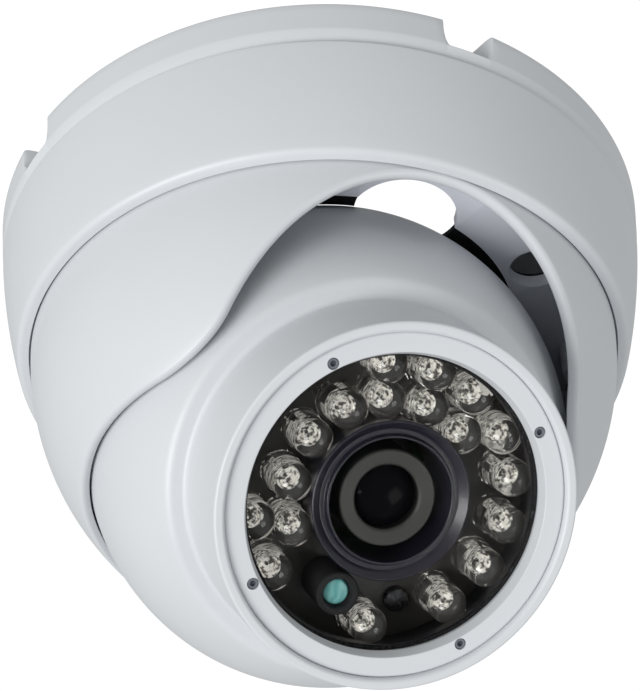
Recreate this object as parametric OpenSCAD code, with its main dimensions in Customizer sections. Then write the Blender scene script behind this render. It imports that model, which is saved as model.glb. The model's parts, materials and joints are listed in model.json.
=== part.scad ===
// Ceiling-mounted eyeball dome camera: pan shroud, tilting cradle and rolling eyeball.
// The mounting face is the plane z = 0 and the camera hangs below it.

/* [Mounting base and drum cover] */
// Radius of the rim at the mounting face
rim_r = 46.7; // [46.5:0.1:47]
// Depth of the base from the mounting face to the parting line
base_h = 6.9; // [6.5:0.1:7.2]
// Depth of the drum cover's lower edge below the mounting face
drum_h = 24; // [23.9:0.1:24.1]
// Thickness of the base plate
plate_t = 3; // [2.6:0.1:3.2]
// Radius of the central cable opening
cable_r = 24.5; // [22:0.5:25]
// Radius of the circle of mounting holes
mount_circle_r = 32; // [31.5:0.5:32.5]
// Radius of each mounting hole
mount_hole_r = 2.25; // [2:0.05:2.5]
// Width of each notch in the rim
notch_w = 6.4; // [5:0.2:8]

/* [Pan stage] */
// Radius of the shroud's outer spherical surface
shroud_r = 41; // [40.9:0.05:41.05]
// Depth of the centre of that sphere
shroud_z = -22; // [-22.2:0.1:-21.8]
// Thickness of the shroud wall
shroud_t = 2; // [1.8:0.1:2.1]
// Radius of the round-headed slot that the eyeball looks through
slot_r = 24.8; // [24.6:0.1:25.2]
// Inner radius of the pan ring around the eyeball
ring_in_r = 27.5; // [27.2:0.1:27.8]
// Radius of the screwdriver access holes in the pan ring
access_r = 3.6; // [3.4:0.1:3.8]

/* [Eyeball] */
// Radius of the eyeball
ball_r = 32.63; // [32.5:0.01:32.7]
// Depth of the eyeball's centre
ball_z = -36.84; // [-37:0.02:-36.7]
// Tilt of the lens from straight down, as stored
tilt = 40.15; // [39:0.05:41]
// Turn of the eyeball about the lens axis, as stored
roll = -4.5; // [-6:0.5:0]
// Height of the front rim above the eyeball's centre
rim_h = 33.7; // [33.6:0.1:33.8]
// Radius of the clear aperture in the face ring
aperture_r = 18.5; // [18.4:0.05:18.6]
// Radius of the circle of face screws
face_screw_circle_r = 19.76; // [19.7:0.02:19.8]

/* [Lamps and lens] */
// Radius of a lamp's clear body
lamp_r = 2.4; // [2.2:0.1:2.4]
// Radius of the outer circle of lamps
lamp_out_r = 16.6; // [16.5:0.1:16.8]
// Radius of the inner circle of lamps
lamp_in_r = 12.2; // [12.1:0.1:12.3]
// Outer radius of the lens shroud's front flange
lens_shroud_r = 10.1; // [10:0.1:10.2]
// Radius of the lens barrel
barrel_r = 6; // [5.9:0.1:6]

/* [Hidden] */
$fn = 96;
eps = 0.01;
gap = 0.3;
fit = 0.05;

// Drum: one convex arc from the parting line down to the rounded lower edge
arc_r = 100;
arc_x = -53.3;
arc_z = 3.8;
drum_wall_r = 42.7;
ledge_r = 40.9;
ledge_top = -17.2;
ledge_bottom = -23;
mouth_r = 41.35;
spigot_r = 44.1;
notch_angles = [-87, 93, -170, 10];
notch_r = 42.6;
notch_d = 4.6;
mount_angles = [45, 135, 225, 315];
mount_recess_r = 4;
mount_recess_d = 0.8;
cover_screw_angles = [30, 120, 210, 300];
cover_screw_r = 39.6;
cover_hole_r = 1.6;
cover_pilot_r = 1.25;
cover_boss_r = 3.6;
cover_boss_end = -12.8;
cover_boss_gap = 0.2;
cover_screw_tip = -11;
gasket_in = 25.8;
gasket_out = 29.2;
gasket_t = 1;

// Pan stage
neck_r = 40.6;
neck_in = 38.6;
ring_z = -16.4;
ring_t = 2;
ring_out_r = 42.3;
slot_z = -49.5;
lip_z = -46.3;
lip_round = 4;
lip_round_x = 27.2;
lip_round_z = lip_z + lip_round - 0.15;
lip_tilt = 3;
lip_back = 46.6;
lip_back_y = 2;
ball_room = 0.35;
dust_in_r = 24.1;
dust_out_r = 33.6;
dust_t = 0.8;
dust_cut_x = 2.4;
cutout_r = 7.4;
cutout_x = 1.4;
cutout_y = -25.1;
ring_screw_angles = [15, 165, 195, 345];
ring_screw_r = 36.8;
boss_r = 2.3;
pin_r = 1.5;
pin_in = 33.2;
pin_out = 37.2;
pivot_boss_r = 3.4;
pivot_boss_in = 34.8;
washer_r = 2.5;

// Cradle
cradle_in = 33.05;
cradle_out = 34.2;
journal_r = 24;
journal_top = -12.9;
journal_end = -19.5;
ear_w = 7;
web_in = 26.6;
web_low = -17.6;

// Eyeball shells, measured along the lens axis from the eyeball's centre
part_h = -10.5;
shoulder_h = 20;
neck_low_r = 23.4;
neck_top_r = 22.85;
shell_t = 2.3;
bore_r = 20.6;
pocket_r = 18.85;
shoulder_in_r = 18.3;
face_in_h = 31.4;
face_h = 32.9;
face_out_r = 21.35;
seat_r = 21.5;
face_screw_angles = [45, 135, 225, 315];
retainer_r = 24.8;
retainer_t = 1.6;
retainer_angles = [0, 120, 240];
retainer_circle_r = 15;
self_tap_r = 0.95;
glass_r = 18.75;
glass_h = 30.4;
gasket_h = 30;

// Board, lamps and lens
board_r = 20.2;
board_h = 20.8;
board_t = 1.2;
board_top = board_h + board_t;
lamp_tip = 29.9;
lamp_dome_r = lamp_r + 0.12;
lamp_out_angles = [110, 88, 67, 45, 25, 4, -17, -40, -77, -129, -153];
lamp_in_angles = [134, 111, 84, 57, 160, 188, 215];
cell_angle = 261;
cell_circle_r = 13.2;
cell_r = 1.7;
cell_sleeve_r = 2.75;
board_screw_angle = 302;
board_screw_circle_r = 15.4;
pillar_angles = [40, 140, 220, 320];
pillar_circle_r = 14.4;
camera_board_h = 4.4;
camera_board_w = 34;
holder_top = 15;
lens_front_h = 28.6;

// ---------- helpers ----------

// A tube from z = low to z = high
module tube(outer, inner, low, high) {
    difference() {
        translate([0, 0, low]) cylinder(r = outer, h = high - low);
        translate([0, 0, low - 1]) cylinder(r = inner, h = high - low + 2);
    }
}

// A rod from z = low to z = high
module rod(r, low, high) {
    translate([0, 0, low]) cylinder(r = r, h = high - low);
}

// Copies at the given angles on a circle
module around(angles, circle_r) {
    for (a = angles) {
        rotate([0, 0, a]) translate([circle_r, 0, 0]) children();
    }
}

// Moves the eyeball's own frame, lens along +Z, to where the cradle holds it
module at_cradle() {
    translate([0, 0, ball_z]) rotate([180 - tilt, 0, 0]) children();
}

// As at_cradle, with the eyeball's turn about the lens axis
module at_ball() {
    at_cradle() rotate([0, 0, roll]) children();
}

// Rounded-head screw along -Z with its head's top at z = 0
module screw(head_r, head_h, shank_r, length) {
    difference() {
        union() {
            rod(head_r, -head_h, 0);
            rod(shank_r, -length, -head_h + eps);
        }
        rotate([0, 0, 45]) translate([-head_r * 0.6, -head_r * 0.1, -head_h * 0.45])
            cube([head_r * 1.2, head_r * 0.2, head_h]);
        rotate([0, 0, -45]) translate([-head_r * 0.6, -head_r * 0.1, -head_h * 0.45])
            cube([head_r * 1.2, head_r * 0.2, head_h]);
    }
}

// Countersunk screw along -Z with its head's top at z = 0
module countersunk_screw(head_r, shank_r, length) {
    difference() {
        union() {
            translate([0, 0, shank_r - head_r]) cylinder(r1 = shank_r, r2 = head_r, h = head_r - shank_r);
            rod(shank_r, -length, shank_r - head_r + eps);
        }
        translate([-head_r * 0.6, -head_r * 0.12, -0.6]) cube([head_r * 1.2, head_r * 0.24, 1]);
        translate([-head_r * 0.12, -head_r * 0.6, -0.6]) cube([head_r * 0.24, head_r * 1.2, 1]);
    }
}

// ---------- mounting base ----------

// Cast plate and rim that screws to the ceiling
module mounting_base() {
    color("gainsboro") difference() {
        rotate_extrude($fn = 180) polygon([
            [cable_r, 0], [rim_r - 0.6, 0], [rim_r, -0.6],
            [rim_r - 0.55, -base_h], [spigot_r + 0.1, -base_h],
            [spigot_r + 0.1, -plate_t], [cable_r, -plate_t]
        ]);
        for (a = notch_angles) {
            rotate([0, 0, a]) translate([notch_r, -notch_w / 2, -notch_d]) cube([10, notch_w, 10]);
        }
        around(mount_angles, mount_circle_r) {
            rod(mount_hole_r, -10, 10);
            rod(mount_recess_r, -10, -plate_t + mount_recess_d);
        }
        around(cover_screw_angles, cover_screw_r) {
            rod(cover_hole_r, -10, 10);
            translate([0, 0, -1.5]) cylinder(r1 = cover_hole_r, r2 = 2 * cover_hole_r, h = cover_hole_r);
        }
        tube(gasket_out, gasket_in, -gasket_t, 5);
    }
}

// Foam seal let into the mounting face round the cable opening
module base_gasket() {
    color("dimgray") tube(gasket_out - 0.1, gasket_in + 0.1, -gasket_t, 0);
}

// Convex cover between the base and the pan stage
module drum_cover() {
    color("gainsboro") difference() {
        union() {
            rotate_extrude($fn = 180) drum_section();
            around(cover_screw_angles, cover_screw_r)
                rod(cover_boss_r, cover_boss_end, -plate_t - cover_boss_gap);
        }
        around(cover_screw_angles, cover_screw_r) rod(cover_pilot_r, -12, 0);
        for (a = notch_angles) {
            rotate([0, 0, a]) translate([notch_r - 2, -notch_w / 2 - 0.4, -notch_d - 0.3])
                cube([10, notch_w + 0.8, 10]);
        }
    }
}

// Half section of the drum cover
module drum_section() {
    difference() {
        union() {
            intersection() {
                translate([arc_x, arc_z]) circle(r = arc_r, $fn = 360);
                polygon([[30, -base_h - 0.1], [60, -base_h - 0.1], [60, -drum_h], [30, -drum_h]]);
            }
            translate([drum_wall_r, -base_h - 0.2]) square([spigot_r - drum_wall_r, base_h + 0.2 - plate_t]);
        }
        polygon([
            [20, 0], [drum_wall_r, 0], [drum_wall_r, ledge_top], [ledge_r, ledge_top],
            [ledge_r, ledge_bottom], [mouth_r, ledge_bottom], [mouth_r, -30], [20, -30]
        ]);
        translate([mouth_r, -drum_h]) polygon([[0.3, -0.2], [1.45, 1], [2.65, 4], [9, 4], [9, -0.2]]);
    }
}

// Screws from the base plate into the drum cover's bosses
module cover_screws() {
    color("silver") around(cover_screw_angles, cover_screw_r)
        translate([0, 0, -0.1]) countersunk_screw(2.9, 1.24, -cover_screw_tip);
}

// Low-friction ring that the pan ring turns on
module pan_friction_ring() {
    color("black") tube(42.2, ledge_r + 0.1, ledge_top, ring_z - 0.1);
}

// ---------- pan stage ----------

// Outline of the slot seen along the direction that the lens faces
module slot_outline() {
    translate([0, slot_z]) circle(r = slot_r, $fn = 180);
    for (s = [-1, 1]) {
        difference() {
            translate([s * (lip_round_x - 1.5) - 2.1, lip_z - 1]) square([4.2, 4.3]);
            translate([s * lip_round_x, lip_round_z]) circle(r = lip_round);
        }
    }
    translate([-60, lip_z - 40]) square([120, 40]);
}

// Spherical shroud that turns with the eyeball
module pan_shroud() {
    color("gainsboro") difference() {
        union() {
            difference() {
                union() {
                    intersection() {
                        translate([0, 0, shroud_z]) sphere(r = shroud_r, $fn = 180);
                        translate([0, 0, -70]) cylinder(r = 50, h = 70 - 23.3);
                    }
                    rod(neck_r, -24, ring_z);
                }
                translate([0, 0, shroud_z]) sphere(r = shroud_r - shroud_t, $fn = 180);
                rod(neck_in, -24, 0);
                translate([0, 0, ball_z]) sphere(r = ball_r + ball_room, $fn = 180);
            }
            around(ring_screw_angles, ring_screw_r) rod(boss_r, -22, ring_z);
            for (s = [-1, 1]) {
                intersection() {
                    translate([0, 0, ball_z]) rotate([0, s * 90, 0]) rod(pivot_boss_r, pivot_boss_in, 45);
                    translate([0, 0, shroud_z]) sphere(r = shroud_r - shroud_t / 2, $fn = 180);
                }
            }
        }
        rotate([90, 0, 0]) linear_extrude(60) slot_outline();
        rotate([-lip_tilt, 0, 0]) translate([-60, lip_back_y, -lip_back - 60]) cube([120, 80, 60]);
        around(ring_screw_angles, ring_screw_r) rod(self_tap_r, -21, 0);
        for (s = [-1, 1]) {
            translate([0, 0, ball_z]) rotate([0, s * 90, 0]) rod(pin_r, 30, pin_out);
        }
    }
}

// Flat ring that carries the shroud and closes the space round the eyeball
module pan_ring() {
    color("lightslategray") difference() {
        tube(ring_out_r, ring_in_r, ring_z, ring_z + ring_t);
        translate([cutout_x, cutout_y, 0]) rod(cutout_r, -30, 0);
        around(mount_angles, mount_circle_r) rod(access_r, -30, 0);
        around(ring_screw_angles, ring_screw_r) rod(1.3, -30, 0);
    }
}

// Black foam ring that closes the gap between the pan ring and the eyeball
module dust_ring() {
    color("black") difference() {
        tube(dust_out_r, dust_in_r, ring_z + ring_t, ring_z + ring_t + dust_t);
        translate([dust_cut_x, cutout_y, 0]) rod(cutout_r, -30, 0);
        around(mount_angles, mount_circle_r) rod(access_r + 0.4, -30, 0);
    }
}

// Screws that clamp the pan ring to the shroud
module ring_screws() {
    color("silver") around(ring_screw_angles, ring_screw_r)
        translate([0, 0, ring_z + ring_t + 1]) screw(2, 1, 0.94, 6.5);
}

// Pins that the cradle tilts on, pressed into the shroud
module tilt_pins() {
    color("silver") for (s = [-1, 1]) {
        translate([0, 0, ball_z]) rotate([0, s * 90, 0]) rod(pin_r, pin_in, pin_out);
    }
}

// Thrust washers on the tilt pins
module pivot_washers() {
    color("white") for (s = [-1, 1]) {
        translate([0, 0, ball_z]) rotate([0, s * 90, 0])
            tube(washer_r, pin_r + fit, cradle_out + 0.04, pivot_boss_in);
    }
}

// ---------- cradle ----------

// Yoke that tilts on the pins and holds the eyeball's journal
module tilt_cradle() {
    color("black") at_cradle() difference() {
        union() {
            rotate_extrude() polygon([
                [journal_r + fit, journal_end + 0.4], [26.2, journal_end + 0.4],
                [29.7, journal_top - gap], [journal_r + fit, journal_top - gap]
            ]);
            intersection() {
                sphere(r = cradle_out, $fn = 180);
                union() {
                    difference() {
                        ears();
                        sphere(r = cradle_in, $fn = 180);
                    }
                    for (a = [0, 180]) {
                        rotate([0, 0, a]) translate([web_in, -ear_w / 2, web_low])
                            cube([10, ear_w, journal_top - gap - web_low]);
                    }
                }
            }
        }
        rotate([0, 90, 0]) rod(pin_r + fit, -50, 50);
    }
}

// Round-ended straps from the journal ring to the pins
module ears() {
    translate([-50, -ear_w / 2, journal_end + 2]) cube([100, ear_w, -journal_end - 2]);
    rotate([0, 90, 0]) rod(ear_w / 2, -50, 50);
}

// ---------- eyeball shells ----------

// Front shell with the lens hood
module front_housing() {
    color("whitesmoke") at_ball() difference() {
        union() {
            intersection() {
                sphere(r = ball_r, $fn = 180);
                rod(50, part_h, shoulder_h);
            }
            rotate_extrude($fn = 180) polygon([
                [0, 15], [24.8, 15], [24.8, shoulder_h + 0.1], [neck_low_r + 0.4, shoulder_h + 0.3],
                [neck_low_r, shoulder_h + 0.9],
                [neck_top_r, rim_h - 0.5], [neck_top_r - 0.5, rim_h], [0, rim_h]
            ]);
        }
        rod(seat_r, face_in_h, 50);
        rod(pocket_r, gasket_h, 50);
        rod(shoulder_in_r, 20, 50);
        rod(bore_r, 0, gasket_h - 0.8);
        intersection() {
            sphere(r = ball_r - shell_t, $fn = 180);
            rod(50, -40, 17.5);
        }
        around(face_screw_angles, face_screw_circle_r) rod(0.7, 28, 50);
    }
}

// Rear shell with the journal that turns in the cradle
module rear_shell() {
    color("black") at_ball() difference() {
        union() {
            intersection() {
                sphere(r = ball_r, $fn = 180);
                rod(50, journal_top, part_h - 0.05);
            }
            rod(journal_r, journal_end, journal_top + eps);
        }
        rod(journal_r - 2.2, journal_end + 2, 10);
        intersection() {
            sphere(r = ball_r - shell_t - 0.6, $fn = 180);
            rod(50, journal_top + 1.2, 10);
        }
        rod(3.2, -40, 0);
        around(retainer_angles, retainer_circle_r) rod(self_tap_r, -40, -15);
    }
}

// Seal between the two shells
module shell_seal() {
    color("dimgray") at_ball() tube(28.4, 27.2, part_h - 0.05, part_h + 1);
}

// Ring that keeps the journal in the cradle
module roll_retainer() {
    color("dimgray") at_ball() difference() {
        tube(retainer_r, 12, journal_end - retainer_t, journal_end);
        around(retainer_angles, retainer_circle_r) rod(1.3, -40, 0);
    }
}

// Screws that hold the retainer to the rear shell
module retainer_screws() {
    color("silver") at_ball() around(retainer_angles, retainer_circle_r)
        translate([0, 0, journal_end - retainer_t - 1]) mirror([0, 0, 1]) screw(2, 1, 0.94, 4.4);
}

// Rubber bush where a cable leaves the eyeball
module cable_grommet() {
    color("dimgray") at_ball() difference() {
        union() {
            rod(3.2, journal_end - 1.5, journal_end + 3);
            rod(4.6, journal_end - 1.5, journal_end);
            rod(4.2, journal_end + 2, journal_end + 3);
        }
        rod(2.1, -40, 0);
    }
}

// ---------- face ----------

// Ring that holds the front glass
module face_ring() {
    color("whitesmoke") at_ball() difference() {
        rotate_extrude($fn = 180) polygon([
            [aperture_r, face_in_h], [face_out_r, face_in_h], [face_out_r, face_h - 0.2],
            [face_out_r - 0.2, face_h], [aperture_r + 0.45, face_h], [aperture_r + 0.35, face_h - 0.1]
        ]);
        around(face_screw_angles, face_screw_circle_r) rod(0.75, 0, 50);
    }
}

// Sunk socket screws of the face ring
module face_screws() {
    color("dimgray") at_ball() around(face_screw_angles, face_screw_circle_r) difference() {
        rod(0.69, 28.2, face_h - 0.15);
        rod(0.35, face_h - 0.9, face_h);
    }
}

// Flat front glass
module front_glass() {
    color("lightcyan", 0.3) at_ball() rod(glass_r, glass_h, face_in_h);
}

// Gasket under the glass
module glass_gasket() {
    color("dimgray") at_ball() tube(pocket_r - 0.05, shoulder_in_r + 0.02, gasket_h, glass_h);
}

// ---------- lamp board ----------

// Round board that carries the infrared lamps
module led_board() {
    color("black") at_ball() difference() {
        rod(board_r, board_h, board_top);
        rod(8.6, 0, 50);
        around([board_screw_angle], board_screw_circle_r) rod(0.9, 0, 50);
        around(pillar_angles, pillar_circle_r) rod(0.6, 0, 50);
    }
}

// One lamp standing on the board
module lamp() {
    dome_z = lamp_tip - lamp_dome_r;
    rotate_extrude($fn = 48) intersection() {
        union() {
            translate([0, board_top - 1]) square([lamp_r + 1, dome_z + 1.3 - board_top]);
            translate([0, dome_z]) circle(r = lamp_dome_r);
        }
        translate([0, board_top]) square([lamp_r, lamp_tip - board_top + 1]);
    }
}

// Infrared lamps in two circles
module led_lamps() {
    color("lightgray", 0.6) at_ball() {
        around(lamp_out_angles, lamp_out_r) rotate([0, 0, 180]) lamp();
        around(lamp_in_angles, lamp_in_r) rotate([0, 0, 180]) lamp();
    }
}

// Daylight sensor
module photocell() {
    color("mediumturquoise") at_ball() around([cell_angle], cell_circle_r) rod(cell_r, board_top, 28.4);
}

// Light-proof sleeve round the daylight sensor
module photocell_sleeve() {
    color("black") at_ball() around([cell_angle], cell_circle_r)
        tube(cell_sleeve_r, cell_r + 0.1, board_top, 29.4);
}

// Screw that holds the lamp board
module led_board_screw() {
    color("black") at_ball() around([board_screw_angle], board_screw_circle_r)
        translate([0, 0, board_top + 1.3]) screw(1.6, 1.3, 0.89, 4.5);
}

// ---------- lens ----------

// Conical light shield between the lens and the lamps
module lens_shroud() {
    color("indigo") at_ball() rotate_extrude() polygon([
        [7.8, board_h - 0.8], [8.5, board_h - 0.8], [8.5, board_top], [9.4, board_top],
        [9.4, 28.3], [lens_shroud_r, 29.2], [lens_shroud_r, 30.1], [9.9, 30.3],
        [8.9, 29.3], [8.3, 29.3], [8.1, 29.9], [7.8, 29.9]
    ]);
}

// Threaded lens barrel
module lens_barrel() {
    color("black") at_ball() difference() {
        rod(barrel_r, 9, 27.6);
        rod(4.2, 0, 50);
    }
}

// Bevelled ring that retains the front lens
module lens_front_ring() {
    color("dimgray") at_ball() rotate_extrude() polygon([
        [4.1, 27.6], [6.1, 27.6], [6.1, 28.4], [5.9, lens_front_h], [4.3, 28.3], [4.1, 28.1]
    ]);
}

// Front lens element
module front_lens() {
    color("midnightblue", 0.6) at_ball() intersection() {
        rod(4.05, 23, 30);
        translate([0, 0, 20.4]) sphere(r = 7.4, $fn = 96);
    }
}

// Rear lens element
module rear_lens() {
    color("midnightblue", 0.6) at_ball() rod(4.15, 10, 12.5);
}

// Nut that locks the lens at its focus
module lens_lock_ring() {
    color("black") at_ball() tube(7.4, barrel_r + 0.02, holder_top + 0.2, holder_top + 2.2);
}

// Holder that carries the lens over the sensor
module lens_holder() {
    color("black") at_ball() difference() {
        union() {
            translate([-8, -8, camera_board_h]) cube([16, 16, 4.6]);
            rod(7.4, camera_board_h, holder_top);
        }
        rod(barrel_r + 0.02, 8.9, 50);
        translate([-5.4, -5.4, 0]) cube([10.8, 10.8, camera_board_h + 3]);
        rod(3.6, 0, 50);
    }
}

// Infrared cut filter over the sensor
module ir_filter() {
    color("lightpink", 0.5) at_ball() translate([-4.6, -4.6, camera_board_h + 2.3]) cube([9.2, 9.2, 0.7]);
}

// Image sensor
module image_sensor() {
    color("darkslategray") at_ball() translate([-4.4, -4.4, camera_board_h]) cube([8.8, 8.8, 1.5]);
}

// Camera electronics board
module camera_board() {
    color("darkgreen") at_ball() difference() {
        translate([-camera_board_w / 2, -camera_board_w / 2, camera_board_h - 1.6])
            cube([camera_board_w, camera_board_w, 1.6]);
        around(pillar_angles, pillar_circle_r) rod(0.6, 0, 50);
    }
}

// Pillars that join the two boards
module board_pillars() {
    color("goldenrod") at_ball() around(pillar_angles, pillar_circle_r) {
        rod(1.4, camera_board_h, board_h);
        rod(0.6, camera_board_h - 1.6, board_top);
    }
}

// Socket for the cable's plug on the back of the camera board
module wire_socket() {
    color("ivory") at_ball() difference() {
        translate([-6, -3, camera_board_h - 1.6 - 6]) cube([12, 6, 6]);
        translate([-5.2, -2.2, camera_board_h - 1.6 - 7]) cube([10.4, 4.4, 5.5]);
    }
}

mounting_base();
base_gasket();
drum_cover();
cover_screws();
pan_friction_ring();
pan_shroud();
pan_ring();
dust_ring();
ring_screws();
tilt_pins();
pivot_washers();
tilt_cradle();
front_housing();
rear_shell();
shell_seal();
roll_retainer();
retainer_screws();
cable_grommet();
face_ring();
face_screws();
front_glass();
glass_gasket();
led_board();
led_lamps();
photocell();
photocell_sleeve();
led_board_screw();
lens_shroud();
lens_barrel();
lens_front_ring();
front_lens();
rear_lens();
lens_lock_ring();
lens_holder();
ir_filter();
image_sensor();
camera_board();
board_pillars();
wire_socket();
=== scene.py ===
"""The dome camera's looks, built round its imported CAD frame.

Outlines are in millimetres, turned into metres where a mesh is made. The eyeball's own frame has its
origin at the eyeball's centre and +Z along the lens. Mounting face z = 0, camera hanging below it.
"""
import json
import math

import bmesh
import bpy
from mathutils import Matrix, Vector


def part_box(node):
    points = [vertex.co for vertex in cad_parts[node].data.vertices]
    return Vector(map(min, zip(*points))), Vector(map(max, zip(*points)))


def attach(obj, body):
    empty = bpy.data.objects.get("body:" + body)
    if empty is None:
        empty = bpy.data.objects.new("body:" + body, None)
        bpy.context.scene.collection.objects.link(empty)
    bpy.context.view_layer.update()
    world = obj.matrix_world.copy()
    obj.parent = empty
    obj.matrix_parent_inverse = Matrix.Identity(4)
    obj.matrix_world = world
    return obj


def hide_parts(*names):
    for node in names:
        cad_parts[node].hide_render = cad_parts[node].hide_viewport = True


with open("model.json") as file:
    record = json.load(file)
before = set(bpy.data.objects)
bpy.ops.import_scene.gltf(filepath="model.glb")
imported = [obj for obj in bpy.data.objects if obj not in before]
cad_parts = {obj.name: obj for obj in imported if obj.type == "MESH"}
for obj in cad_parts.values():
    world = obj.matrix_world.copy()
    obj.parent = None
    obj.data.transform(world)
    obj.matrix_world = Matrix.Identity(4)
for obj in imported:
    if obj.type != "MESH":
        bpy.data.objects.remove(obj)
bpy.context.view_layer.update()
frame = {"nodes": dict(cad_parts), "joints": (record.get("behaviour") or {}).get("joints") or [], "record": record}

MM = 0.001
TURN = 2 * math.pi
IDENTITY = Matrix.Identity(4)
SHARP_ANGLE = 38
ARC_STEP = 11

# ---------- places worked out from the frame ----------

JOINTS = {joint["name"]: joint for joint in frame["joints"]}
BALL_CENTRE = Vector(JOINTS["roll"]["pos_m"])
LENS_AXIS = Vector(JOINTS["roll"]["axis"]).normalized()
BALL_Z = BALL_CENTRE.z / MM
LENS_TILT = math.atan2(-LENS_AXIS.y, -LENS_AXIS.z)
FACE_ROLL = math.radians(-4.5)
AT_CRADLE = Matrix.Translation(BALL_CENTRE) @ Matrix.Rotation(math.pi - LENS_TILT, 4, "X")
AT_BALL = AT_CRADLE @ Matrix.Rotation(FACE_ROLL, 4, "Z")


def low(node):
    """Lowest corner of a CAD node in millimetres."""
    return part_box(node)[0] / MM


def high(node):
    """Highest corner of a CAD node in millimetres."""
    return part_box(node)[1] / MM


RIM_R = high("mounting_base").x
BASE_H = -low("mounting_base").z
DRUM_H = -low("drum_cover").z
RING_LOW = low("pan_ring").z
RING_HIGH = high("pan_ring").z
RING_OUT = high("pan_ring").x
MOUNT = next(m for m in frame["record"]["mounts"] if m["name"] == "ceiling_screws")
MOUNT_CIRCLE = MOUNT["dims"]["pcd_mm"] / 2
MOUNT_HOLE = MOUNT["dims"]["hole_r_mm"]
MOUNT_ANGLES = [45, 135, 225, 315]

# Drum arc, shroud sphere and eyeball
DRUM_ARC = (-53.3, 3.8, 100)
SHROUD_R = 41.0
SHROUD_Z = -22
SHROUD_T = 2
SHROUD_TOP = -23.3
BALL_R = 32.63
BALL_IN = 30.33
BALL_ROOM = 0.2
SEAM_Z = -10.5
SHOULDER_Z = 20.0
SHOULDER_ROUND = 1.8
SLOT_R = 25.2
SLOT_Z = -49.5
LIP_Z = -46.3
LIP_SLOPE = 0.0524
CABLE_R = 24.5
CABLE_GROOVE = (25.8, 29.2)
RING_IN = 27.5
DUST_IN = 23.82
DUST_OUT = 33.6
DUST_T = 0.8
DUST_TAPER = 0.77
CUTOUT = (1.4, -25.1, 7.4)
DUST_CUTOUT = (2.4, -25.1, 7.4)
NOTCH_ANGLES = [-87, 93, -170, 10]
NOTCH_HALF = 3.2
NOTCH_IN = 42.6
NOTCH_DEPTH = 4.6
NOTCH_EDGE = 0.6
COVER_SCREWS = (39.6, [30, 120, 210, 300])
FLOOR_R = 5000
FLOOR_Z = -1800
RIM_TOP = 33.7
FACE_TOP = 32.9
GLASS_LOW = 30.4
GLASS_HIGH = 31.4
BOARD_TOP = 22
LAMP_R = 2.4
LAMP_DOME = 2.52
LAMP_TIP = 29.9
LAMP_OUT = (16.6, [110, 88, 67, 45, 25, 4, -17, -40, -77, -129, -153])
LAMP_IN = (12.2, [134, 111, 84, 57, 160, 188, 215])
FACE_SCREWS = (19.76, [45, 135, 225, 315])
CELL = (13.2, 261)
BOARD_SCREW = (15.4, 302)


# ---------- mesh helpers ----------

def arc(centre_r, centre_z, radius, start, end, steps):
    """Points of an arc, angles in degrees from the r axis towards z."""
    points = []
    for k in range(steps + 1):
        a = math.radians(start + (end - start) * k / steps)
        points.append((centre_r + radius * math.cos(a), centre_z + radius * math.sin(a)))
    return points


def rounded(corners, closed=True):
    """Outline through corners (r, z) or (r, z, radius), with an arc at each corner that has a radius."""
    out = []
    count = len(corners)
    for i, corner in enumerate(corners):
        here = Vector(corner[:2])
        radius = corner[2] if len(corner) > 2 else 0
        if radius <= 0 or (not closed and i in (0, count - 1)):
            out.append(tuple(here))
            continue
        before = Vector(corners[i - 1][:2]) - here
        after = Vector(corners[(i + 1) % count][:2]) - here
        angle = before.angle(after)
        reach = radius / math.tan(angle / 2)
        room = 0.49 * min(before.length, after.length)
        if reach > room:
            radius *= room / reach
            reach = room
        a, b = here + before.normalized() * reach, here + after.normalized() * reach
        inward = (before.normalized() + after.normalized()).normalized()
        middle = here + inward * radius / math.sin(angle / 2)
        start, sweep = a - middle, math.pi - angle
        side = 1 if start.x * (b - middle).y - start.y * (b - middle).x > 0 else -1
        steps = max(2, round(math.degrees(sweep) / ARC_STEP))
        for k in range(steps + 1):
            turn = side * sweep * k / steps
            out.append((
                middle.x + start.x * math.cos(turn) - start.y * math.sin(turn),
                middle.y + start.x * math.sin(turn) + start.y * math.cos(turn),
            ))
    return out


def piece_from(bm, name, place=IDENTITY, sharp=SHARP_ANGLE):
    """A smooth-shaded object from a bmesh in millimetres, its place put into its mesh."""
    bmesh.ops.remove_doubles(bm, verts=bm.verts, dist=1e-5)
    bmesh.ops.recalc_face_normals(bm, faces=bm.faces)
    mesh = bpy.data.meshes.new(name)
    bm.to_mesh(mesh)
    bm.free()
    mesh.transform(place @ Matrix.Scale(MM, 4))
    mesh.polygons.foreach_set("use_smooth", [True] * len(mesh.polygons))
    mesh.set_sharp_from_angle(angle=math.radians(sharp))
    piece = bpy.data.objects.new(name, mesh)
    bpy.context.scene.collection.objects.link(piece)
    return piece


def add_lathe(bm, outline, segments=192, place=IDENTITY, closed=True):
    """Adds an outline turned round the Z axis. An open outline ends on the axis or stays open there."""
    rings = []
    for r, z in outline:
        if r < 1e-6:
            rings.append([bm.verts.new(place @ Vector((0, 0, z)))])
            continue
        rings.append([
            bm.verts.new(place @ Vector((r * math.cos(a), r * math.sin(a), z)))
            for a in (TURN * k / segments for k in range(segments))
        ])
    stitch(bm, rings, closed)


def stitch(bm, rings, closed):
    """Joins rings of vertices with faces; a ring of one vertex is a pole."""
    pairs = list(zip(rings, rings[1:]))
    if closed:
        pairs.append((rings[-1], rings[0]))
    for one, two in pairs:
        count = max(len(one), len(two))
        if count == 1:
            continue
        for k in range(count):
            n = (k + 1) % count
            corners = [one[k % len(one)], one[n % len(one)], two[n % len(two)], two[k % len(two)]]
            bm.faces.new(list(dict.fromkeys(corners)))


def band(bm, one, two):
    """Joins two closed rings of equally many vertices with faces."""
    for k in range(len(one)):
        n = (k + 1) % len(one)
        bm.faces.new((one[k], one[n], two[n], two[k]))


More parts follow.
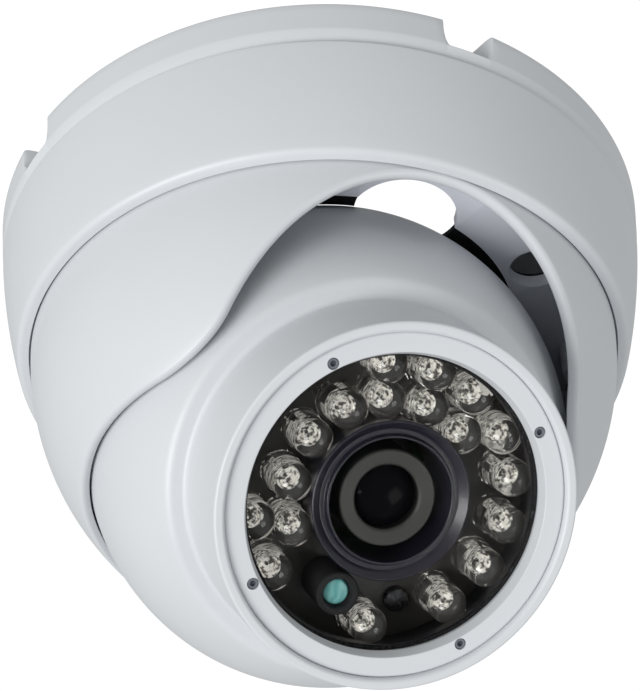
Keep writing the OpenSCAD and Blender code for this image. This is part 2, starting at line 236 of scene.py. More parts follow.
def add_box(bm, size, centre, place=IDENTITY):
    """Adds a box."""
    made = bmesh.ops.create_cube(bm, size=1)
    matrix = place @ Matrix.Translation(centre) @ Matrix.Diagonal((*size, 1))
    bmesh.ops.transform(bm, matrix=matrix, verts=made["verts"])


def lathe(name, outline, place=IDENTITY, segments=192, closed=True):
    """One turned piece."""
    bm = bmesh.new()
    add_lathe(bm, outline, segments, closed=closed)
    return piece_from(bm, name, place)


def spots(circle, angles, z=0, spin=0):
    """Places on a circle, one matrix for each angle in degrees."""
    out = Matrix.Translation((circle, 0, z))
    own_turn = Matrix.Rotation(spin, 4, "Z")
    return [Matrix.Rotation(math.radians(a), 4, "Z") @ out @ own_turn for a in angles]


def rod_outline(radius, bottom, top):
    """Sharp outline of a plain rod, used as a cutter."""
    return [(0, bottom), (radius, bottom), (radius, top), (0, top)]


def carve(piece, cutter_mesh, place=IDENTITY):
    """Cuts a closed bmesh of cutters out of a piece."""
    cutter = piece_from(cutter_mesh, "cutter", place)
    modifier = piece.modifiers.new("cut", "BOOLEAN")
    modifier.operation = "DIFFERENCE"
    modifier.solver = "EXACT"
    modifier.object = cutter
    bake_modifiers(piece)
    bpy.data.objects.remove(cutter)


def bake_modifiers(piece):
    """Puts the modifiers' result into the piece's mesh."""
    graph = bpy.context.evaluated_depsgraph_get()
    graph.update()
    mesh = bpy.data.meshes.new_from_object(piece.evaluated_get(graph))
    piece.modifiers.clear()
    piece.data = mesh
    mesh.polygons.foreach_set("use_smooth", [True] * len(mesh.polygons))
    mesh.set_sharp_from_angle(angle=math.radians(SHARP_ANGLE))


def soften(piece, width, segments=3):
    """Rounds a piece's sharp edges."""
    modifier = piece.modifiers.new("round", "BEVEL")
    modifier.width = width * MM
    modifier.segments = segments
    modifier.limit_method = "ANGLE"
    modifier.angle_limit = math.radians(40)
    modifier.harden_normals = False
    bake_modifiers(piece)


def fit_out(piece, body, material, slot, *nodes):
    """Gives a piece its material and body, and hides the CAD nodes that it stands for; the slot is not used."""
    piece.data.materials.clear()
    piece.data.materials.append(material)
    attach(piece, body)
    if nodes:
        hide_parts(*nodes)


# ---------- materials ----------

def srgb(red, green, blue):
    """Linear colour from 0-255 screen values."""
    def linear(value):
        c = value / 255
        return c / 12.92 if c <= 0.04045 else ((c + 0.055) / 1.055) ** 2.4
    return (linear(red), linear(green), linear(blue), 1)


def surface(name, colour, roughness, grain=0.5, bump=0.0, mottle=0.03, rough_vary=0.05, scale=1.0,
            **sockets):
    """A procedural surface: mottled colour, uneven roughness, and a fine grain in millimetres as bump."""
    material = bpy.data.materials.new(name)
    material.use_nodes = True
    nodes, links = material.node_tree.nodes, material.node_tree.links
    shader = nodes["Principled BSDF"]
    for socket, value in sockets.items():
        shader.inputs[socket.replace("_", " ")].default_value = value
    place = nodes.new("ShaderNodeTexCoord").outputs["Object"]

    def noise(size, detail):
        node = nodes.new("ShaderNodeTexNoise")
        node.inputs["Scale"].default_value = 1 / (size * MM)
        node.inputs["Detail"].default_value = detail
        links.new(place, node.inputs["Vector"])
        return node.outputs["Fac"]

    broad = noise(9 * scale, 3)
    mix = nodes.new("ShaderNodeMix")
    mix.data_type = "RGBA"
    mix.inputs["A"].default_value = tuple(c * (1 - mottle) for c in colour[:3]) + (1,)
    mix.inputs["B"].default_value = tuple(min(1, c * (1 + mottle)) for c in colour[:3]) + (1,)
    links.new(broad, mix.inputs["Factor"])
    links.new(mix.outputs["Result"], shader.inputs["Base Color"])

    spread = nodes.new("ShaderNodeMapRange")
    spread.inputs["To Min"].default_value = max(0.0, roughness - rough_vary)
    spread.inputs["To Max"].default_value = min(1.0, roughness + rough_vary)
    links.new(noise(2.5 * scale, 4), spread.inputs["Value"])
    links.new(spread.outputs["Result"], shader.inputs["Roughness"])

    if bump > 0:
        height = nodes.new("ShaderNodeBump")
        height.inputs["Strength"].default_value = bump
        height.inputs["Distance"].default_value = 0.02 * MM
        links.new(noise(grain, 2), height.inputs["Height"])
        links.new(height.outputs["Normal"], shader.inputs["Normal"])
    return material


def teal_cell():
    """Daylight sensor: teal resin with paler wavy bands."""
    material = surface("teal cell", srgb(92, 170, 168), 0.3, bump=0.1, Coat_Weight=0.6,
                       Coat_Roughness=0.1)
    nodes, links = material.node_tree.nodes, material.node_tree.links
    shader = nodes["Principled BSDF"]
    wave = nodes.new("ShaderNodeTexWave")
    wave.inputs["Scale"].default_value = 0.30 / MM
    wave.inputs["Distortion"].default_value = 9
    place = nodes.new("ShaderNodeTexCoord").outputs["Object"]
    links.new(place, wave.inputs["Vector"])
    track = nodes.new("ShaderNodeMix")
    track.data_type = "RGBA"
    track.inputs["A"].default_value = srgb(92, 170, 168)
    track.inputs["B"].default_value = srgb(124, 192, 188)
    links.new(wave.outputs["Fac"], track.inputs["Factor"])
    links.new(track.outputs["Result"], shader.inputs["Base Color"])
    return material


def lamp_cup():
    """Silvered lamp cup: bright metal broken up by dark speckles, with a painted glow that makes the bright
    speckles shine as painted glints.
    """
    material = surface("lamp cup", srgb(240, 240, 236), 0.3, grain=0.2, bump=0.8, Metallic=0.5)
    nodes, links = material.node_tree.nodes, material.node_tree.links
    shader = nodes["Principled BSDF"]
    speck_glint_noise = nodes.new("ShaderNodeTexNoise")
    speck_glint_noise.inputs["Scale"].default_value = 3.6 / MM
    speck_glint_noise.inputs["Detail"].default_value = 2
    links.new(nodes.new("ShaderNodeTexCoord").outputs["Object"], speck_glint_noise.inputs["Vector"])
    ramp = nodes.new("ShaderNodeValToRGB")
    ramp.color_ramp.elements[0].position = 0.4
    ramp.color_ramp.elements[0].color = srgb(70, 66, 60)
    ramp.color_ramp.elements[1].position = 0.56
    ramp.color_ramp.elements[1].color = srgb(250, 248, 242)
    links.new(speck_glint_noise.outputs["Fac"], ramp.inputs["Fac"])
    links.new(ramp.outputs["Color"], shader.inputs["Base Color"])
    # Painted glints: the speckle colour also drives a weak glow, so the cup shines though it is no lamp.
    links.new(ramp.outputs["Color"], shader.inputs["Emission Color"])
    shader.inputs["Emission Strength"].default_value = 0.4
    return material


PAINT = surface("housing paint", srgb(215, 218, 221), 0.42, grain=0.35, bump=0.12, mottle=0.012,
                Coat_Weight=0.12, Coat_Roughness=0.35)
# Pan ring paint: a lighter, bluer copy of the housing paint, painted light that lifts the ring out of the shade
# inside the cavity.
RING_PAINT_PAINTED_LIGHTER = surface("ring paint", srgb(232, 234, 242), 0.45, grain=0.4, bump=0.15, mottle=0.02)
BLACK_RUBBER = surface("black rubber", srgb(24, 24, 26), 0.8, grain=0.3, bump=0.5, mottle=0.1)
BLACK_PLASTIC = surface("black plastic", srgb(26, 26, 29), 0.45, grain=0.25, bump=0.4, mottle=0.06)
STEEL = surface("screw steel", srgb(170, 171, 174), 0.3, grain=0.2, bump=0.2, mottle=0.05, Metallic=1.0)
BLACK_STEEL = surface("black screw steel", srgb(96, 96, 98), 0.28, grain=0.15, bump=0.15, Metallic=0.9)
DARK_STEEL = surface("dark screw steel", srgb(112, 116, 124), 0.45, grain=0.15, bump=0.1, Metallic=0.4)
BOARD_BLACK = surface("lamp board", srgb(62, 60, 57), 0.35, grain=0.6, bump=0.6, mottle=0.25, scale=0.3)
NYLON = surface("nylon", srgb(226, 226, 218), 0.5, grain=0.4, bump=0.2)
SHROUD_BLACK = surface("lens shroud", srgb(30, 28, 40), 0.3, mottle=0.04, Coat_Weight=0.3,
                       Coat_Roughness=0.15)
LENS_BLACK = surface("lens barrel", srgb(13, 13, 14), 0.5)
LENS_GREY = surface("lens ring", srgb(62, 62, 59), 0.5, grain=0.25, bump=0.1, mottle=0.06)
LENS_GLASS = surface("lens glass", srgb(6, 5, 8), 0.08, rough_vary=0.02, Specular_IOR_Level=0.05)
WINDOW = surface("front glass", srgb(0, 0, 0), 0.04, rough_vary=0.02, Alpha=0.05, Specular_IOR_Level=0.5)
EPOXY = surface("lamp epoxy", srgb(235, 233, 228), 0.03, grain=1.2, bump=0.2, mottle=0.01, rough_vary=0.02,
                Transmission_Weight=0.96, IOR=1.54)
# Lamp cups with a painted glow: their bright speckles are painted glints.
GLOWING_CUP_METAL = lamp_cup()
DIE = surface("lamp die", srgb(60, 52, 48), 0.3, grain=0.1, bump=0.3)
TEAL = teal_cell()
FILTER = surface("filter glass", srgb(190, 140, 155), 0.05, Alpha=0.6)
SENSOR = surface("sensor package", srgb(38, 46, 52), 0.15)
GREEN_BOARD = surface("camera board", srgb(30, 92, 52), 0.4, grain=0.5, bump=0.5, mottle=0.15, scale=0.4)
BRASS = surface("brass", srgb(196, 164, 96), 0.3, bump=0.2, Metallic=1.0)
IVORY = surface("socket ivory", srgb(222, 214, 190), 0.45, bump=0.2)

CAD_MATERIALS = {
    "base_gasket": BLACK_RUBBER, "cover_screws": STEEL, "pan_friction_ring": BLACK_PLASTIC,
    "ring_screws": STEEL, "tilt_pins": STEEL, "pivot_washers": NYLON, "tilt_cradle": BLACK_PLASTIC,
    "rear_shell": BLACK_PLASTIC, "shell_seal": BLACK_RUBBER, "roll_retainer": BLACK_PLASTIC,
    "retainer_screws": STEEL, "cable_grommet": BLACK_RUBBER, "glass_gasket": BLACK_RUBBER,
    "lens_barrel": LENS_BLACK, "rear_lens": LENS_GLASS, "lens_lock_ring": LENS_BLACK,
    "lens_holder": LENS_BLACK, "ir_filter": FILTER, "image_sensor": SENSOR, "camera_board": GREEN_BOARD,
    "board_pillars": BRASS, "wire_socket": IVORY,
}


# ---------- camera, lights and stage ----------

def make_camera():
    """The camera stands low in front and looks up at the ceiling camera."""
    data = bpy.data.cameras.new("camera")
    data.lens = 101.54
    data.sensor_width = 36
    data.clip_start, data.clip_end = 0.01, 20
    camera = bpy.data.objects.new("camera", data)
    camera.location = (-0.082845, -0.192363, -0.201094)
    camera.rotation_euler = [math.radians(a) for a in (131.048, 1.419, -21.944)]
    bpy.context.scene.collection.objects.link(camera)
    bpy.context.scene.camera = camera


def softbox(name, place, size, power):
    """A square soft light that points at the eyeball."""
    data = bpy.data.lights.new(name, "AREA")
    data.size = size
    data.energy = power
    light = bpy.data.objects.new(name, data)
    light.location = place
    light.rotation_euler = (BALL_CENTRE - Vector(place)).to_track_quat("-Z", "Y").to_euler()
    bpy.context.scene.collection.objects.link(light)


def make_world():
    """Even pale studio: a white backdrop, and softer light from all round."""
    world = bpy.data.worlds.new("studio")
    bpy.context.scene.world = world
    world.use_nodes = True
    nodes, links = world.node_tree.nodes, world.node_tree.links
    light = nodes["Background"]
    light.inputs["Color"].default_value = srgb(250, 252, 252)
    light.inputs["Strength"].default_value = 0.49
    backdrop = nodes.new("ShaderNodeBackground")
    backdrop.inputs["Color"].default_value = srgb(255, 255, 255)
    backdrop.inputs["Strength"].default_value = 1.05
    pick = nodes.new("ShaderNodeMixShader")
    links.new(nodes.new("ShaderNodeLightPath").outputs["Is Camera Ray"], pick.inputs[0])
    links.new(light.outputs[0], pick.inputs[1])
    links.new(backdrop.outputs[0], pick.inputs[2])
    links.new(pick.outputs[0], nodes["World Output"].inputs["Surface"])


def make_floor():
    """Plain pale floor well below the hanging camera."""
    bm = bmesh.new()
    bmesh.ops.create_circle(bm, cap_ends=True, segments=96, radius=FLOOR_R,
                            matrix=Matrix.Translation((0, 0, FLOOR_Z)))
    floor = piece_from(bm, "studio_floor")
    floor.data.materials.append(surface("pale floor", srgb(235, 235, 236), 0.7, mottle=0.005, scale=30))


# ---------- base and drum ----------

def base_rim():
    """Mounting base: plate, rim with four notches, screw holes and gasket groove."""
    notches = [math.radians(a) for a in NOTCH_ANGLES]
    angles = {TURN * k / 240 for k in range(240)}
    for centre in notches:
        for side in (-1, 1):
            for k in range(-5, 6):
                angles.add((centre + side * (NOTCH_HALF + NOTCH_EDGE * k / 5) / RIM_R) % TURN)
    angles = sorted(angles)

    def openness(a):
        """1 inside a notch and 0 outside it, with a rounded change between."""
        nearest = min(abs((a - c + math.pi) % TURN - math.pi) for c in notches) * RIM_R
        t = max(0, min(1, (NOTCH_HALF + NOTCH_EDGE - nearest) / (2 * NOTCH_EDGE)))
        return t * t * (3 - 2 * t)

    def side_r(z):
        """Outer radius of the rim, drawn in slightly towards the parting line."""
        return RIM_R - 0.55 * max(0, -z - 0.6) / (BASE_H - 0.6)

    floor = -NOTCH_DEPTH
    whole = [(side_r(z), z) for z in (floor - 0.3, floor, -3.4, -1.6, -0.6)] + [
        (RIM_R - 0.05, -0.35), (RIM_R - 0.18, -0.15), (RIM_R - 0.4, 0), (RIM_R - 1, 0)]
    cut = [(side_r(floor - 0.3), floor - 0.3), (side_r(floor) - 0.12, floor - 0.08),
           (side_r(floor) - 0.35, floor),
           (NOTCH_IN + 0.3, floor), (NOTCH_IN, floor + 0.3), (NOTCH_IN, -1),
           (NOTCH_IN, -0.5), (NOTCH_IN - 0.08, -0.15), (NOTCH_IN - 0.3, 0)]
    under = rounded([(RIM_R - 0.55, -BASE_H, 0.3), (44.2, -BASE_H, 0.2), (44.2, -3, 0.2),
                     (CABLE_R, -3, 0.4), (CABLE_R, 0, 0.4), (36, 0)])
    bm = bmesh.new()
    columns = []
    for a in angles:
        t = openness(a)
        side = [((1 - t) * w[0] + t * c[0], (1 - t) * w[1] + t * c[1]) for w, c in zip(whole, cut)]
        outline = under + side[::-1]
        columns.append([bm.verts.new((r * math.cos(a), r * math.sin(a), z)) for r, z in outline])
    for i, one in enumerate(columns):
        band(bm, one, columns[(i + 1) % len(columns)])
    base = piece_from(bm, "base_rim")

    cutters = bmesh.new()
    for spot in spots(MOUNT_CIRCLE, MOUNT_ANGLES):
        add_lathe(cutters, [(0, -9), (4, -9), (4, -2.2), (MOUNT_HOLE, -2.2), (MOUNT_HOLE, -0.25),
                            (MOUNT_HOLE + 0.3, 0.05), (MOUNT_HOLE + 0.3, 1), (0, 1)], 48, spot, closed=False)
    for spot in spots(*COVER_SCREWS):
        add_lathe(cutters, [(0, -9), (1.6, -9), (1.6, -1.6), (3.3, 0.1), (3.3, 1), (0, 1)], 48, spot,
                  closed=False)
    groove_in, groove_out = CABLE_GROOVE
    add_lathe(cutters, [(groove_in, -1), (groove_out, -1), (groove_out, 1), (groove_in, 1)], 192)
    carve(base, cutters)
    fit_out(base, "base", PAINT, "housing_paint", "mounting_base")


def drum():
    """Convex cover below the base, with a rounded lower edge."""
    arc_r, arc_z, radius = DRUM_ARC
    upper, lower = -BASE_H - 0.05, -DRUM_H

    def skin(z):
        return arc_r + math.sqrt(radius * radius - (z - arc_z) ** 2)

    steps = 40
    heights = [upper + (lower + 2.2 - upper) * k / steps for k in range(1, steps + 1)]
    curve = [(skin(z), z) for z in heights]
    outline = rounded(
        [(44.0, -3.05, 0.2), (44.0, upper, 0.1), (skin(upper) - 0.02, upper, 0.28)] + curve
        + [(skin(lower) - 0.02, lower, 1.35), (41.2, lower, 0.1), (41.2, -23, 0.1), (40.9, -23, 0.2),
           (40.9, -17.2, 0.2), (42.7, -17.2, 0.2), (42.7, -3.05, 0.2)])
    cover = lathe("drum_skin", outline, segments=240)
    cutters = bmesh.new()
    for a in NOTCH_ANGLES:
        add_box(cutters, (10, 7.2, 5), (46, 0, -2.4), Matrix.Rotation(math.radians(a), 4, "Z"))
    carve(cover, cutters)
    bosses = bmesh.new()
    for spot in spots(*COVER_SCREWS):
        add_lathe(bosses, rounded([(0, -12.8), (3.6, -12.8, 0.4), (3.6, -3.2, 0.2), (0, -3.2)],
                                  closed=False), 40, spot, closed=False)
    fit_out(piece_from(bosses, "drum_bosses"), "base", PAINT, "housing_paint")
    fit_out(cover, "base", PAINT, "housing_paint", "drum_cover")


# ---------- pan stage ----------

def lip_height(y):
    """Height of the shroud's lip, level in front and falling gently behind."""
    t = y + 1.4
    return LIP_Z - LIP_SLOPE * 0.5 * (t + math.sqrt(t * t + 16))


def outside_shroud(p):
    """Positive where the slot or the space below the lip is; its corner is rounded."""
    corner = 4.2
    below = lip_height(p.y) - p.z
    slot = SLOT_R - math.hypot(p.x, p.z - SLOT_Z) if p.y < 0 else -20
    a, b = max(corner + slot, 0), max(corner + below, 0)
    return min(-corner, max(slot, below)) + math.hypot(a, b)


def on_shroud(azimuth, depth, radius=SHROUD_R):
    """A point on the shroud's sphere; depth is the angle below its centre."""
    return Vector((
        radius * math.cos(depth) * math.cos(azimuth),
        radius * math.cos(depth) * math.sin(azimuth),
        SHROUD_Z - radius * math.sin(depth),
    ))


def lip_depth(azimuth):
    """Angle below the sphere's centre at which the shroud ends."""
    a, b = 0.0, 1.4
    while outside_shroud(on_shroud(azimuth, a)) < 0 and a < b:
        a += 0.01
    lower, upper = a - 0.01, a
    for _ in range(40):
        middle = (lower + upper) / 2
        if outside_shroud(on_shroud(azimuth, middle)) < 0:
            lower = middle
        else:
            upper = middle
    return (lower + upper) / 2


def inner_radius(direction):
    """Distance from the sphere's centre to the shroud's inner wall, which clears the eyeball."""
    down = BALL_Z - SHROUD_Z
    room = BALL_R + BALL_ROOM
    along = direction.z * down
    reach = along * along - down * down + room * room
    ball = along + math.sqrt(reach) if reach > 0 else 0
    return max(SHROUD_R - SHROUD_T, ball)


def even_lip(count):
    """Points of the lip at even steps of its length."""
    fine = 4000
    azimuths = [TURN * k / fine for k in range(fine)]
    points = [on_shroud(a, lip_depth(a)) for a in azimuths]
    lengths = [0.0]
    for k in range(fine):
        lengths.append(lengths[-1] + (points[(k + 1) % fine] - points[k]).length)
    out, k = [], 0
    for i in range(count):
        target = lengths[-1] * i / count
        while lengths[k + 1] < target:
            k += 1
        t = (target - lengths[k]) / (lengths[k + 1] - lengths[k])
        a = azimuths[k] + TURN / fine * t
        out.append(on_shroud(a, lip_depth(a)))
    return out


def shroud():
    """Spherical shroud with the round-headed slot and a rounded lip."""
    count, rows, edge_steps = 720, 26, 6
    centre = Vector((0, 0, SHROUD_Z))
    top_depth = math.asin((SHROUD_Z - SHROUD_TOP) / SHROUD_R)
    rim = ((38.7, RING_LOW), (40.45, RING_LOW), (40.6, RING_LOW - 0.15), (40.6, -23.1), (40.75, -23.2))
    lip = even_lip(count)
    columns = []
    for i, point in enumerate(lip):
        normal = (point - centre).normalized()
        along = (lip[(i + 1) % count] - lip[i - 1]).normalized()
        out = normal.cross(along)
        if out.z > 0:
            out = -out
        wall = SHROUD_R - inner_radius(normal)
        round_r = min(0.75, 0.45 * wall)
        back = (point - out * round_r - centre).normalized()
        azimuth = math.atan2(point.y, point.x)
        edge_azimuth = math.atan2(back.y, back.x)
        turn = (edge_azimuth - azimuth + math.pi) % TURN - math.pi
        edge_depth = -math.asin(back.z)
        column = [Vector((r * math.cos(azimuth), r * math.sin(azimuth), z)) for r, z in rim]
        for k in range(rows):
            s = k / rows
            column.append(on_shroud(azimuth + turn * s, top_depth + (edge_depth - top_depth) * s))
        for k in range(edge_steps + 1):
            a = math.pi / 2 * k / edge_steps
            column.append(point - out * (round_r - round_r * math.sin(a))
                          - normal * (round_r - round_r * math.cos(a)))
        free = max(0.0, min(1.0, (wall - 1.2) / 0.7))
        inner_round = (0.35 + 1.15 * free) * round_r
        for k in range(edge_steps + 1):
            a = math.pi / 2 * k / edge_steps
            column.append(point - out * (inner_round - inner_round * math.cos(a))
                          - normal * (wall - inner_round + inner_round * math.sin(a)))
        for k in range(rows - 1, -1, -1):
            s = k / rows
            flat = on_shroud(azimuth + turn * s, top_depth + (edge_depth - top_depth) * s, 1) - centre
            column.append(centre + flat * inner_radius(flat))
        columns.append(column)
    bm = bmesh.new()
    made = [[bm.verts.new(p) for p in column] for column in columns]
    for i, one in enumerate(made):
        band(bm, one, made[(i + 1) % count])
    skin = piece_from(bm, "shroud_skin", sharp=50)

    posts = bmesh.new()
    for spot in spots(36.8, [15, 165, 195, 345]):
        add_lathe(posts, rounded([(0, -21.8), (2.2, -21.8, 0.5), (2.2, RING_LOW), (0, RING_LOW)],
                                 closed=False), 32, spot, closed=False)
    for side in (-1, 1):
        place = Matrix.Translation((side * 34.8, 0, BALL_Z)) @ Matrix.Rotation(side * math.pi / 2, 4, "Y")
        add_lathe(posts, rounded([(0, 0), (3.4, 0, 0.3), (3.4, 1.7), (0, 1.7)], closed=False), 40,
                  place, closed=False)
    fit_out(piece_from(posts, "shroud_posts"), "pan_stage", PAINT, "housing_paint")
    fit_out(skin, "pan_stage", PAINT, "housing_paint", "pan_shroud")


def ring_cutters(cutout, access_r):
    """Front cut-out and screwdriver holes of the pan ring or the foam on it."""
    cutters = bmesh.new()
    x, y, radius = cutout
    add_lathe(cutters, rod_outline(radius, -30, -5), 96, Matrix.Translation((x, y, 0)), closed=False)
    for spot in spots(MOUNT_CIRCLE, MOUNT_ANGLES):
        add_lathe(cutters, rod_outline(access_r, -30, -5), 64, spot, closed=False)
    return cutters


def pan_rings():
    """Pan ring round the eyeball and the black foam ring on top of it."""
    ring = lathe("pan_ring_plate", [(RING_IN, RING_LOW), (RING_OUT, RING_LOW), (RING_OUT, RING_HIGH),
                                    (RING_IN, RING_HIGH)])
    carve(ring, ring_cutters(CUTOUT, 3.6))
    soften(ring, 0.25)
    # Painted light: the ring gets the lighter, bluer copy of the housing paint against the cavity's shade.
    fit_out(ring, "pan_stage", RING_PAINT_PAINTED_LIGHTER, "housing_paint", "pan_ring")
    foam_high = RING_HIGH + DUST_T
    foam = lathe("dust_foam", [(DUST_IN, RING_HIGH), (DUST_OUT, RING_HIGH), (DUST_OUT, foam_high),
                               (DUST_IN - DUST_TAPER, foam_high)])
    carve(foam, ring_cutters(DUST_CUTOUT, 4))
    soften(foam, 0.04)
    fit_out(foam, "pan_stage", BLACK_RUBBER, "black_rubber", "dust_ring")


# ---------- eyeball ----------

def ball_arc(start, end, steps, radius=BALL_R):
    """Arc of the eyeball between two heights along the lens axis."""
    a, b = math.degrees(math.asin(start / radius)), math.degrees(math.asin(end / radius))
    return arc(0, 0, radius, a, b, steps)


def front_shell():
    """White front shell: ball, rounded shoulder, tapered hood and a sunk face."""
    outer = ball_arc(SEAM_Z, SHOULDER_Z - 1.5, 60)
    shoulder_r = math.sqrt(BALL_R ** 2 - SHOULDER_Z ** 2)
    outline = rounded(
        [(30.5, SEAM_Z, 0.15)] + outer
        + [(shoulder_r, SHOULDER_Z, SHOULDER_ROUND), (23.42, SHOULDER_Z + 0.3, 0.8), (22.88, 33.0),
           (22.85, RIM_TOP, 0.75), (21.48, RIM_TOP, 0.55), (21.48, GLASS_HIGH, 0.1),
           (18.85, GLASS_HIGH, 0.05), (18.85, 30.0, 0.05),
           (18.3, 30.0, 0.1), (18.3, 29.2, 0.1), (20.6, 29.2, 0.3), (20.6, 19.0, 0.3), (24.4, 17.5, 0.5)]
        + ball_arc(17.0, SEAM_Z, 40, BALL_IN))
    shell = lathe("front_shell", outline, AT_BALL, segments=256)
    fit_out(shell, "eyeball", PAINT, "housing_paint", "front_housing")


def face_plate():
    """Ring that holds the glass, with four sunk socket screws."""
    plate = lathe("face_plate", rounded([
        (18.5, GLASS_HIGH, 0.05), (21.47, GLASS_HIGH, 0.05), (21.47, FACE_TOP, 0.35),
        (18.97, FACE_TOP, 0.15)]), segments=256)
    cutters = bmesh.new()
    for spot in spots(*FACE_SCREWS):
        add_lathe(cutters, rod_outline(0.74, 28, 40), 32, spot, closed=False)
    carve(plate, cutters)
    plate.data.transform(AT_BALL)
    fit_out(plate, "eyeball", PAINT, "housing_paint", "face_ring")

    screws = bmesh.new()
    top = FACE_TOP - 0.12
    for spot in spots(*FACE_SCREWS):
        add_lathe(screws, rounded([(0, 28.2), (0.69, 28.2, 0.05), (0.69, top, 0.12), (0.36, top, 0.05),
                                   (0.33, top - 0.6, 0.02), (0, top - 0.7)], closed=False), 24, spot,
                  closed=False)
    fit_out(piece_from(screws, "face_screw_heads", AT_BALL), "eyeball", DARK_STEEL, "dark_screw",
            "face_screws")


def window():
    """Flat front glass with small rounded edges."""
    glass = lathe("front_window", rounded([
        (0, GLASS_LOW), (18.75, GLASS_LOW, 0.15), (18.75, GLASS_HIGH, 0.15), (0, GLASS_HIGH)],
        closed=False), AT_BALL, closed=False)
    fit_out(glass, "eyeball", WINDOW, "window_glass", "front_glass")


def lamp_spots():
    """Places of the lamps on the board."""
    return spots(*LAMP_OUT, BOARD_TOP, 0.5) + spots(*LAMP_IN, BOARD_TOP, 0.9)


def lamps():
    """Clear lamps, each with a reflector cup, a die and two leads cast inside."""
    tip = LAMP_TIP - BOARD_TOP
    dome_z = tip - LAMP_DOME
    cup_top, cup_r, flange_r = tip - 3.4, 0.8, 2.65
    edge = math.degrees(math.acos(LAMP_R / LAMP_DOME))
    dome = arc(0, dome_z, LAMP_DOME, edge, 90, 18)
    dome[-1] = (0, tip)
    side_z = dome[0][1]
    bodies, cups, dies = bmesh.new(), bmesh.new(), bmesh.new()
    for spot in lamp_spots():
        add_lathe(bodies, [(0, 0), (flange_r - 0.1, 0), (flange_r, 0.1), (flange_r, 0.9), (flange_r - 0.1, 1),
                           (LAMP_R, 1), (LAMP_R, side_z * 0.6)] + dome, 48, spot, closed=False)
        add_lathe(cups, rounded([(0, cup_top - 0.6), (0.4, cup_top - 0.6, 0.1), (cup_r - 0.12, cup_top, 0.06),
                                 (cup_r, cup_top - 0.05, 0.06), (0.5, cup_top - 1.1, 0.1),
                                 (0, cup_top - 1.15)], closed=False), 28, spot, closed=False)
        add_box(cups, (0.5, 1.0, 1.6), (0, 0.25, cup_top - 1.85), spot)
        add_box(cups, (0.5, 0.5, cup_top - 2.7), (0, 0.62, (cup_top - 2.7) / 2 + 0.1), spot)
        add_box(cups, (0.45, 0.45, cup_top - 1.5), (0, -1.1, (cup_top - 1.5) / 2 + 0.1), spot)
        add_box(dies, (0.16, 0.16, 0.2), (0, 0, cup_top - 0.48), spot)
    body = piece_from(bodies, "lamp_bodies", AT_BALL)
    fit_out(body, "eyeball", EPOXY, "lamp_epoxy", "led_lamps")
    cup = piece_from(cups, "lamp_cups", AT_BALL)
    fit_out(cup, "eyeball", GLOWING_CUP_METAL, "screw_steel")
    fit_out(piece_from(dies, "lamp_dies", AT_BALL), "eyeball", DIE, "dark_screw")


def lamp_board():
    """Round lamp board and the cross-head screw in it."""
    board = lathe("lamp_board_disc", [(8.6, 20.8), (20.2, 20.8), (20.2, BOARD_TOP), (8.6, BOARD_TOP)])
    soften(board, 0.12, 2)
    board.data.transform(AT_BALL)
    fit_out(board, "eyeball", BOARD_BLACK, "lamp_board", "led_board")

    circle, angle = BOARD_SCREW
    head = bmesh.new()
    spot = spots(circle, [angle], BOARD_TOP)[0]
    add_lathe(head, rounded([(0, -3), (0.85, -3), (0.85, 0), (1.6, 0, 0.1), (1.6, 0.8, 0.5), (0.5, 1.3, 0.3),
                             (0, 1.3)], closed=False), 48, spot, closed=False)
    screw = piece_from(head, "board_screw_head", AT_BALL)
    for turn in (0.4, 0.4 + math.pi / 2):
        slot = bmesh.new()
        add_box(slot, (1.9, 0.32, 0.9), (0, 0, 1.35), spot @ Matrix.Rotation(turn, 4, "Z"))
        carve(screw, slot, AT_BALL)
    fit_out(screw, "eyeball", BLACK_STEEL, "dark_screw", "led_board_screw")


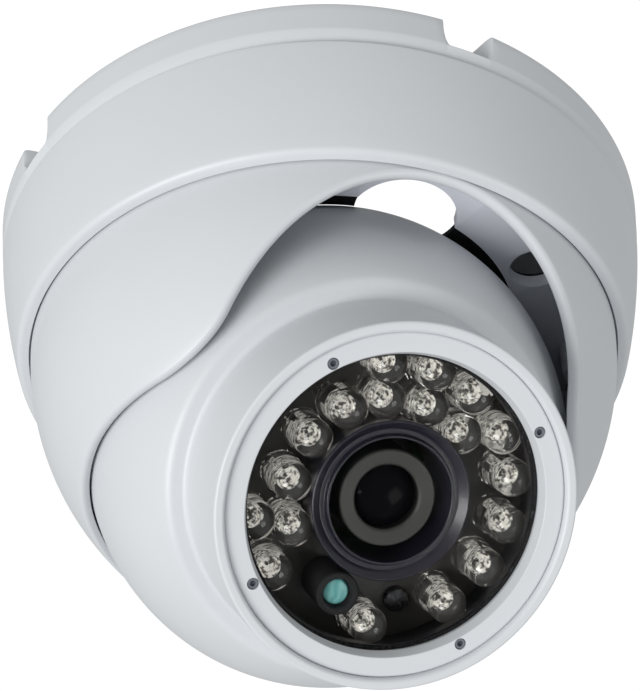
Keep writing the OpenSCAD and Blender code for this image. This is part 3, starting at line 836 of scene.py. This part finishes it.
def daylight_sensor():
    """Teal sensor in its black light-proof sleeve."""
    circle, angle = CELL
    spot = spots(circle, [angle])[0]
    cell = bmesh.new()
    add_lathe(cell, rounded([(0, BOARD_TOP), (1.68, BOARD_TOP), (1.68, 28.4, 0.35), (0, 28.45)],
                            closed=False), 64, spot, closed=False)
    fit_out(piece_from(cell, "sensor_cell", AT_BALL), "eyeball", TEAL, "sensor_teal", "photocell")
    sleeve = bmesh.new()
    add_lathe(sleeve, rounded([(1.8, BOARD_TOP), (2.75, BOARD_TOP), (2.75, 29.4, 0.35), (1.95, 29.4, 0.2),
                               (1.8, 28.9, 0.1)]), 64, spot)
    fit_out(piece_from(sleeve, "sensor_sleeve", AT_BALL), "eyeball", BLACK_RUBBER, "black_rubber",
            "photocell_sleeve")


def bore_liner():
    """Dull black sleeve inside the housing's bore, round the lamp board."""
    liner = lathe("bore_liner", [(20.4, 20.9), (20.58, 20.9), (20.58, 29.18), (18.22, 29.18),
                                 (18.22, 30.35), (18.12, 30.35), (18.12, 29.08), (20.4, 29.08)], AT_BALL)
    fit_out(liner, "eyeball", BLACK_PLASTIC, "black_plastic")


def lens():
    """Light shield, grey retaining ring and the front element."""
    shield = lathe("lens_shield", rounded([
        (7.8, 20.0), (8.5, 20.0, 0.1), (8.5, BOARD_TOP, 0.1), (9.4, BOARD_TOP, 0.1), (9.4, 28.3, 0.3),
        (10.1, 29.2, 0.3), (10.1, 30.1, 0.15), (9.9, 30.3, 0.15), (8.9, 29.3, 0.2), (8.3, 29.3, 0.15),
        (8.1, 29.9, 0.12), (7.8, 29.9, 0.12)]), AT_BALL)
    fit_out(shield, "eyeball", SHROUD_BLACK, "shroud_black", "lens_shroud")
    ring = lathe("lens_grey_ring", rounded([
        (4.1, 27.6), (6.1, 27.6, 0.05), (6.1, 28.4, 0.1), (5.9, 28.6, 0.12), (4.35, 28.32, 0.12),
        (4.1, 28.05, 0.08)]), AT_BALL)
    fit_out(ring, "eyeball", LENS_GREY, "lens_grey", "lens_front_ring")
    front = arc(0, 20.4, 7.4, 56.8, 90, 20)
    front[-1] = (0, 27.8)
    element = lathe("front_element", [(0, 23), (4.0, 23)] + front, AT_BALL, 96, closed=False)
    fit_out(element, "eyeball", LENS_GLASS, "lens_glass", "front_lens")


make_camera()
make_world()
make_floor()
softbox("key_low_left", (-0.82, -0.25, -0.78), 0.6, 9)
softbox("low_right", (0.7, -0.5, -0.8), 0.5, 2)

base_rim()
drum()
shroud()
pan_rings()
front_shell()
face_plate()
window()
lamps()
lamp_board()
daylight_sensor()
bore_liner()
lens()

for node, material in CAD_MATERIALS.items():
    cad = frame["nodes"][node]
    cad.data.materials.clear()
    cad.data.materials.append(material)

bpy.context.scene.view_settings.view_transform = "Standard"
